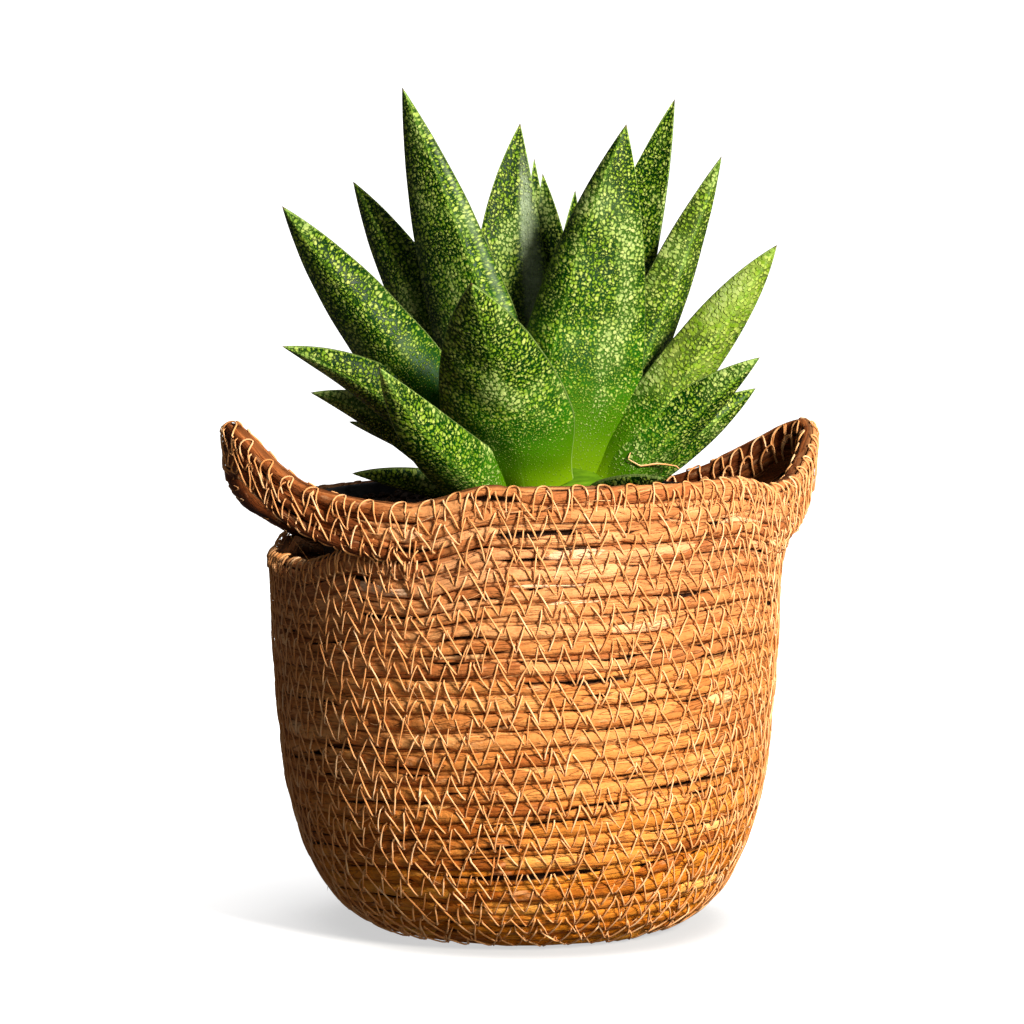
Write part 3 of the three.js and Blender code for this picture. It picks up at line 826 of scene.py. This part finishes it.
def band_painted_shade(degrees, facing):
    """Painted shade: the band is darker at the large handle, most on its outer face, and on the inside of the
    small one.
    """
    large, small = (smooth(handle_share(degrees, handle) / 0.25) for handle in HANDLES)
    outer = smooth((1.3 - facing) / 0.8)
    return large * (0.18 + 0.36 * outer) + 0.55 * small * smooth((np.abs(facing) - 1.5) / 0.4)


def add_ropes(material):
    """The coil's rows. Rows that lie against the nursery pot are wound only where they show."""
    everywhere = (-4.0, 4.0)
    outside = (-1.8, 1.8)
    body = Shape()
    for row, rope in enumerate(BODY_ROPES):
        gold = np.clip(1.1 - 1.15 * row / BODY_ROWS + RNG.uniform(-0.12, 0.12), 0, 1)
        wind(body, rope, 2.8, everywhere if row >= BODY_ROWS - 2 else outside, gold)
    body.piece("basket_rows", material, "seagrass", ["basket_body"])
    band = Shape()
    for row in range(BAND_ROWS):
        wind(band, band_rope(row), 2.6, everywhere, 0.12, radius=90.0, painted_shade=band_painted_shade)
    band.piece("rim_rows", material, "seagrass", ["rim_band"])


def add_core(material):
    """A wall in the middle of the coil and the basket's floor, dark as painted shade, so that nothing shows
    through.
    """
    degrees = np.arange(0, 360, 1.5)
    shape = Shape()
    rings = [to_xyz(degrees, radius, FLOOR / 2) for radius in (0.01, 20, 40)]
    for s in np.linspace(0, BODY_LENGTH - 1.5, 60):
        radius, height = body_point(degrees, s, -WALL / 2)
        rings.append(to_xyz(degrees, radius, np.maximum(height, FLOOR / 2)))
    shape.grid(np.stack(rings), closed=True)
    rings = [to_xyz(degrees, *band_point(degrees, 0, up)) for up in np.linspace(2.0, BAND_TALL - 2.0, 8)]
    shape.grid(np.stack(rings), closed=True)
    shape.piece("coil_core_shade", material, "seagrass")


def add_base(material):
    """The coil's flat underside, wound as rings."""
    shape = Shape()
    outer = float(body_radius(0)) - 0.5
    count = int(outer / ROW)
    pitch = outer / count
    for ring in range(count):
        middle = outer - (ring + 0.5) * pitch

        def frame(degrees, middle=middle):
            still = 0 * np.asarray(degrees)
            centre = np.array([middle + still, FLOOR / 2 + 0.2 + still])
            return centre, np.array([still, -FLOOR / 2 + still]), np.array([-pitch / 2 + still, still])

        wind(shape, Rope(frame), 4.5, (-1.6, 1.6), 0.6, radius=max(middle, 4.0))
    shape.piece("base_rows", material, "seagrass")


# Sewing thread
THREAD = 0.3  # its radius
EDGE_PITCH, SLOT_PITCH = 9.4, 4.6
SEAMS = BODY_ROWS + BAND_ROWS - 1
SEWN_GAP = 1.1  # past this the body and the band aren't sewn together
SLOT_MARGIN = 1.3  # between a stitch's end and a slot's edge


def outer_point(degrees, s, out):
    """On the outside of the basket: s past the body's length goes on up the rim band."""
    degrees, s, out = numbers(degrees, s, out)
    body = to_xyz(degrees, *body_point(degrees, np.minimum(s, BODY_LENGTH), out))
    band = to_xyz(degrees, *band_point(degrees, BAND_THICK / 2 + out, np.maximum(s - BODY_LENGTH, 0)))
    share = smooth((s - BODY_LENGTH + 1.2) / 2.4)[..., None]
    return body * (1 - share) + band * share


def band_skin(degrees, p, out):
    """Round the band's section: p runs up the outer face from 3.1 mm above its foot, over the top and
    down the inner face, and below 0 round its underside."""
    half = BAND_THICK / 2
    straight = BAND_TALL - 2 * half
    degrees, p, out = numbers(degrees, p, out)
    arc = np.clip((p - straight) / half, 0, np.pi)
    under = np.clip(-p / half, 0, np.pi)
    down = np.clip(p - straight - np.pi * half, 0, straight)
    across = (half + out) * np.cos(arc + under)
    up = half + np.clip(p, 0, straight) + (half + out) * (np.sin(arc) - np.sin(under)) - down
    return to_xyz(degrees, *band_point(degrees, across, up))


def tube(shape, path, radius, number, sides=4):
    """A thin tube along a path."""
    along = unit(np.gradient(path, axis=0))
    upright = abs(along[len(along) // 2][2]) >= 0.9
    first = unit(np.cross(along, np.array([1.0, 0.0, 0.0] if upright else [0.0, 0.0, 1.0])))
    second = np.cross(along, first)
    angle = np.arange(sides) * 2 * np.pi / sides
    ring = first[:, None, :] * np.cos(angle)[:, None] + second[:, None, :] * np.sin(angle)[:, None]
    points = path[:, None, :] + ring * np.broadcast_to(radius, len(path))[:, None, None]
    points[..., 2] = np.maximum(points[..., 2], 0.02)
    length = sums(np.linalg.norm(np.diff(path, axis=0), axis=1))
    shape.grid(points, closed=True, grain=triples(length[:, None], angle, number))


def seam_level(seam):
    if seam < BODY_ROWS:
        return (seam + 1) * BODY_PITCH
    return BODY_LENGTH + (seam + 1 - BODY_ROWS) * BAND_ROW


def stroke(shape, rng, a, b, bulges, surface):
    """One stitch from a to b, each (degrees, place), whose ends sink into the coil. bulges are how far
    the rows under the two ends stand out."""
    q = np.array([0, 0.1, 0.3, 0.55, 0.78, 0.91, 1])
    degrees = a[0] + (b[0] - a[0]) * q + rng.normal(0, 0.25) * np.sin(np.pi * q)
    place = a[1] + (b[1] - a[1]) * q
    under = line_at(bulges[0], degrees) * (1 - q) + line_at(bulges[1], degrees) * q
    out = 0.62 + rng.uniform(-0.1, 0.25) + under - 1.5 * (1 - inside_ends(q, 1, 0.12))
    tube(shape, surface(degrees, place, out), THREAD * rng.uniform(0.85, 1.15), rng.uniform(0, 30))


def even_turns(place, pitch, surface, first=0.0, last=360.0, parts=1440):
    """Directions a pitch apart along a surface's line at a place, and the degrees in a millimetre at each."""
    degrees = np.linspace(first, last, parts + 1)
    steps = np.linalg.norm(np.diff(surface(degrees, place, 0.0), axis=0), axis=1)
    reach = sums(steps)
    even = np.linspace(0, reach[-1], max(2, round(reach[-1] / pitch) + 1))
    return np.interp(even, reach, degrees), np.interp(even, reach[1:], (last - first) / parts / steps)


def add_seams(shape, rng, seams):
    """Each seam ties a row to the next with a slanting zigzag that turns inside the two rows."""
    for seam in seams:
        level = seam_level(seam)
        start = rng.uniform(0, 6)
        turns, degrees_in_mm = even_turns(level, rng.uniform(7.8, 9.4), outer_point, start, start + 360)
        slant = rng.uniform(0.56, 0.66)
        turns = turns + rng.normal(0, 0.65, len(turns)) * degrees_in_mm
        turns[-1] = turns[0] + 360
        upper, lower = BULGES[seam + 1], BULGES[seam]
        for left, right in zip(turns[:-1], turns[1:]):
            foot = left + (right - left) * (slant + rng.normal(0, 0.06))
            span = np.array([left, foot, right])
            at_slot = np.max(band_under(span) - body_top(span)) > SEWN_GAP
            if seam == BODY_ROWS - 1 and at_slot:
                continue
            high = level + rng.uniform(0.68, 0.98) * ROW
            low = level - rng.uniform(0.62, 0.92) * ROW
            if seam == BODY_ROWS - 2 and at_slot:
                high = min(high, BODY_LENGTH - SLOT_MARGIN)
            if seam >= BODY_ROWS and at_slot:
                low = max(low, BODY_LENGTH + SLOT_MARGIN)
            apart = rng.normal(0.25, 0.3)
            stroke(shape, rng, (left + apart, high), (foot, low), (upper, lower), outer_point)
            stroke(shape, rng, (foot + rng.normal(0, 0.25), low + rng.uniform(-0.5, 0.5)),
                   (right - apart, high + rng.uniform(-0.6, 0.6)), (lower, upper), outer_point)


def add_thread(material):
    rng = np.random.default_rng(21)
    half_way = SEAMS // 2
    for name, seams in (("thread_low", range(half_way)), ("thread_high", range(half_way, SEAMS))):
        shape = Shape()
        add_seams(shape, rng, seams)
        shape.piece(name, material, "seagrass")
    add_edge_thread(material)


def arch(shape, rng, start, width, low, top, surface, lift):
    """A stitch that rises to an edge, runs along it a little way and comes down again."""
    q = np.linspace(0, 1, 17)
    height = np.sin(np.pi * q) ** rng.uniform(0.42, 0.62)
    degrees = start + width * (0.5 - 0.5 * np.cos(np.pi * q) + rng.uniform(-0.1, 0.1) * np.sin(np.pi * q))
    place = low + (top - low) * height
    out = lift + rng.uniform(-0.05, 0.2) - 1.6 * (1 - inside_ends(q, 1, 0.08))
    tube(shape, surface(degrees, place, out), THREAD * rng.uniform(0.95, 1.2), rng.uniform(0, 30), sides=5)


def add_edge_thread(material):
    """Stitches that go over the rim, under the handles and over the slots' lower edge."""
    rng = np.random.default_rng(33)
    shape = Shape()
    straight = BAND_TALL - BAND_THICK
    over = straight + math.pi * BAND_THICK / 4
    inner_top = straight + math.pi * BAND_THICK / 2
    for start, degrees_in_mm in zip(*even_turns(over, EDGE_PITCH, band_skin)):
        tooth = EDGE_PITCH * degrees_in_mm
        start += rng.normal(0, 0.06) * tooth
        width = tooth * rng.uniform(0.46, 0.7)
        arch(shape, rng, start, width, straight - rng.uniform(5.2, 7.4), over - rng.uniform(0.0, 1.0),
             band_skin, 0.6)
        for offset, low, top in ((0.5, rng.uniform(4.5, 7.5), -rng.uniform(1.5, 3.5)),
                                 (0.0, rng.uniform(9, 12), rng.uniform(2.2, 3.6))):
            arch(shape, rng, start + offset * tooth, width, inner_top + low, inner_top + top, band_skin, 0.5)
    for handle in HANDLES:
        first, last = handle.at - 36, handle.at + 36
        for place, degrees_in_mm in zip(*even_turns(-4.0, EDGE_PITCH, band_skin, first, last)):
            tooth = EDGE_PITCH * degrees_in_mm
            arch(shape, rng, place + rng.normal(0, 0.06) * tooth, tooth * rng.uniform(0.6, 0.8),
                 rng.uniform(3.2, 5.5), -rng.uniform(4.0, 5.4), band_skin, 0.5)
        slot_turns = even_turns(1.5, SLOT_PITCH, BODY_ROPES[-1].at, first - 10, last + 2)
        for place, degrees_in_mm in zip(*slot_turns):
            tooth = SLOT_PITCH * degrees_in_mm
            arch(shape, rng, place + rng.normal(0, 0.08) * tooth, tooth * rng.uniform(0.6, 0.9),
                 -rng.uniform(1.2, 1.6), rng.uniform(1.2, 1.7), BODY_ROPES[-1].at, 1.5)
    shape.piece("thread_edges", material, "seagrass")


def add_fibres(material):
    """Frayed ends that stand a little out of the coil."""
    rng = np.random.default_rng(12)
    shape = Shape()
    q = np.linspace(0, 1, 8)
    for _ in range(420):
        level = (BODY_LENGTH + BAND_TALL) * rng.uniform(0.02, 0.98) ** 0.7
        reach = rng.choice([-1, 1]) * rng.uniform(3, 12) / 85 * RADIAN
        degrees = rng.uniform(0, 360) + reach * q ** 0.9
        place = level + rng.normal(0, 1.6) * q + rng.uniform(-1, 1) * np.sin(np.pi * q)
        out = -0.8 + rng.uniform(1.4, 2.2) * q ** 0.5 + rng.uniform(0, 0.9) * q ** 2
        radius = rng.uniform(0.11, 0.2) * (1.15 - q)
        tube(shape, outer_point(degrees, place, out), radius, rng.uniform(0, 30), 3)
    # A dry bit of grass that has fallen on leaf 17
    straw = np.array([(25.6, -26.9, 159.4), (24.6, -27.0, 157.2), (28.0, -29.5, 155.0), (33.5, -30.6, 155.7),
                      (37.5, -30.0, 155.2), (41.8, -28.8, 154.4), (43.0, -28.6, 153.4)])
    steps = np.linspace(0, 6, 25)
    path = np.stack([np.interp(steps, np.arange(7), straw[:, axis]) for axis in range(3)], -1)
    tube(shape, path, 0.34 * (1 - 0.5 * np.abs(steps - 3) / 3), 3.0, 5)
    shape.piece("frayed_fibres", material, "seagrass")


# Pot, soil and stem
def lathe(shape, profile, columns, centre=(0, 0)):
    """A round shape from its profile, which is points of radius and height."""
    degrees = np.arange(columns) * 360 / columns
    rings = [to_xyz(degrees, max(radius, 0.01), z) for radius, z in profile]
    shape.grid(np.stack(rings) + np.array([*centre, 0]), closed=True)


def pot_radius(z):
    return POT.foot + (POT.top - POT.foot) * (z - POT.base) / (POT.rim - POT.base)


def add_pot(material):
    """A thin pot with a rolled lip, two faint rings and a stepped base."""
    shape = Shape()
    under = POT.rim - POT.lip_height
    profile = [(0, POT.base + 1.2), (22, POT.base + 1.2), (24, POT.base), (46, POT.base),
               (48.6, POT.base + 0.3), (49.8, POT.base + 1.4)]
    for z in np.linspace(12, under - 1, 30):
        ring = 0.35 * (abs(z - 118) < 2.4) + 0.35 * (abs(z - 126) < 2.4)
        profile.append((pot_radius(z) + ring - 0.1, z))
    profile += [(pot_radius(under) - 0.1, under), (POT.lip - 0.6, under + 0.1),
                (POT.lip - 0.1, under + 0.7)]
    roll = 1.5
    for angle in np.linspace(0, 180, 9):
        a = math.radians(angle)
        profile.append((POT.lip - roll - 0.1 + roll * math.cos(a), POT.rim - roll + roll * math.sin(a)))
    profile += [(POT.top - POT.wall, POT.rim - 3), (pot_radius(under) - POT.wall, under)]
    profile += [(pot_radius(z) - POT.wall, z) for z in np.linspace(under - 1, SOIL_TOP - 4, 5)]
    lathe(shape, profile, 144)
    shape.piece("pot_shell", material, "nursery_plastic", ["nursery_pot"])


def add_soil(material):
    """The soil's uneven surface, with crumbs."""
    rng = np.random.default_rng(5)
    shape = Shape()
    inside = pot_radius(SOIL_TOP) - POT.wall - GAP
    degrees = np.arange(0, 360, 2.5)
    rings = []
    bumps = [(rng.uniform(-60, 60), rng.uniform(-60, 60), rng.uniform(4, 11), rng.uniform(-0.9, 1.1))
             for _ in range(150)]
    for share in np.linspace(0.02, 1, 46):
        x, y = share * inside * np.cos(np.radians(degrees)), share * inside * np.sin(np.radians(degrees))
        z = SOIL_TOP + SOIL_DOME * smooth(1.5 * (1 - share)) - 0.4 + 0 * x
        for bx, by, size, high in bumps:
            z = z + high * np.exp(-((x - bx) ** 2 + (y - by) ** 2) / size ** 2) * smooth((1 - share) / 0.06)
        z = z + rng.normal(0, 0.16, z.shape) * smooth((1 - share) / 0.05)
        rings.append(np.stack([x, y, z], -1))
    rings += [to_xyz(degrees, radius, SOIL_TOP - 4) for radius in (inside, inside * 0.5)]
    shape.grid(np.stack(rings), closed=True)
    crumb_turns = np.arange(6) * 60
    for _ in range(700):
        r = inside * math.sqrt(rng.uniform(0, 0.96))
        turn = rng.uniform(0, 360)
        size = rng.uniform(0.5, 1.6)
        place = to_xyz(turn, r, SOIL_TOP + SOIL_DOME * smooth(1.5 * (1 - r / inside)) + 0.15 * size)
        rings = []
        for share, high in ((0.05, -1), (0.8, -0.5), (1.0, 0.1), (0.7, 0.7), (0.05, 0.9)):
            wobble = rng.uniform(0.75, 1.25, 6)
            rings.append(to_xyz(crumb_turns, share * size * wobble, high * size * rng.uniform(0.5, 0.9)))
        shape.grid(np.stack(rings) + place, closed=True)
    shape.piece("soil_surface", material, "soil", ["potting_soil"])


def add_stem(material):
    """The short thick stem, a dome that the leaves grow from."""
    shape = Shape()
    radius = CROWN.radius
    profile = [(CROWN.neck, SOIL_TOP - 6), (radius * 0.8, SOIL_TOP - 3), (radius, SOIL_TOP)]
    for share in np.linspace(0.999, 0, 14):
        profile.append((share * radius, SOIL_TOP + dome_rise(share)))
    lathe(shape, profile, 60, (CROWN.x, CROWN.y))
    shape.piece("stem_dome", material, "stem", ["stem_crown"])


# Studio
PAPER_GLOW_NEAR, PAPER_GLOW_FAR = 0.58, 1.0
VIEW_TURN = -26  # the camera looks along this direction's +Y
VIEW_RIGHT = Vector((math.cos(math.radians(VIEW_TURN)), math.sin(math.radians(VIEW_TURN)), 0))
VIEW_AHEAD = Vector((-math.sin(math.radians(VIEW_TURN)), math.cos(math.radians(VIEW_TURN)), 0))


def in_view(right, ahead, up):
    """A place given to the right of the camera's middle line, away from it and up, in millimetres."""
    return (VIEW_RIGHT * right + VIEW_AHEAD * ahead + Vector((0, 0, up))) * MM


def aim(thing, target):
    thing.rotation_euler = (target - thing.location).to_track_quat("-Z", "Y").to_euler()


def add_camera():
    data = bpy.data.cameras.new("photo_camera")
    data.sensor_width = 36
    data.lens = 158.2
    data.clip_start, data.clip_end = 0.05, 50
    camera = add_object("photo_camera", data)
    camera.location = in_view(-4.5, -1500, 285)
    aim(camera, in_view(-4.5, 0, 138.3))
    bpy.context.scene.camera = camera


def add_light(name, place, target, size, watts, colour=(1, 1, 1), gloss=True):
    data = bpy.data.lights.new(name, "AREA")
    data.shape = "DISK"
    data.size = size
    data.energy = watts
    data.color = colour
    light = add_object(name, data)
    light.location = place
    light.visible_glossy = gloss
    aim(light, target)


def add_studio():
    """A pale floor that curves up behind, a key light from the right and two weak ones. The paper glows
    by itself and sends no light to the plant, so that it is pale in the key light's shadow as well; a painted
    contact shadow makes it darker and glow less near the plant."""
    paint = Paint("studio_paper")
    away = paint.node("ShaderNodeVectorMath", {0: paint.place()}, operation="LENGTH", out="Value")
    # Painted contact shadow: near the plant the paper's colour turns darker and its glow weaker
    free_of_contact_shadow = paint.node("ShaderNodeAmbientOcclusion", {"Distance": 0.16}, out="AO")
    free_of_contact_shadow = paint.math("MAXIMUM", paint.span(free_of_contact_shadow, 0.3, 1.0), paint.span(away, 0.12, 0.3))
    glow = paint.span(free_of_contact_shadow, 0.0, 1.0, PAPER_GLOW_NEAR, PAPER_GLOW_FAR, soft=False)
    white = paint.mix(free_of_contact_shadow, (0.16, 0.15, 0.14, 1), (0.93, 0.93, 0.93, 1))
    material = paint.finish(white, 0.9, 0.1, **{"Emission Color": (1, 1, 1, 1), "Emission Strength": glow})
    profile = [(-6000, 0), (1600, 0)]
    for angle in np.linspace(0, 90, 13)[1:]:
        a = math.radians(angle)
        profile.append((1600 + 1200 * math.sin(a), 1200 * (1 - math.cos(a))))
    profile.append((2800, 6000))
    shape = Shape()
    shape.grid(np.array([[in_view(right, *point) / MM for right in (-6000, 6000)] for point in profile]))
    floor = shape.built("studio_floor", material)
    floor.visible_diffuse = False
    floor.visible_glossy = False

    world = bpy.data.worlds.new("studio_air")
    world.use_nodes = True
    background = world.node_tree.nodes["Background"]
    background.inputs["Color"].default_value = (1, 1, 1, 1)
    background.inputs["Strength"].default_value = 0.14
    bpy.context.scene.world = world
    bpy.context.scene.view_settings.view_transform = "Standard"

    middle = in_view(0, 0, 140)
    add_light("key_light", in_view(1020, -1280, 950), middle, 0.45, 84, (1.0, 0.98, 0.94))
    add_light("bounce_light", in_view(350, -600, 30), in_view(0, 0, 60), 0.5, 2.2, (1.0, 0.86, 0.6))
    add_light("back_light", in_view(600, 1000, 700), middle, 0.6, 2.5, gloss=False)


add_camera()
add_studio()
seagrass = seagrass_paint()
thread = thread_paint()
add_ropes(seagrass)
add_core(core_shade_paint())
add_base(seagrass)
add_thread(thread)
add_fibres(thread)
add_pot(pot_paint())
add_soil(soil_paint())
add_stem(stem_paint())
add_leaves(leaf_paint())
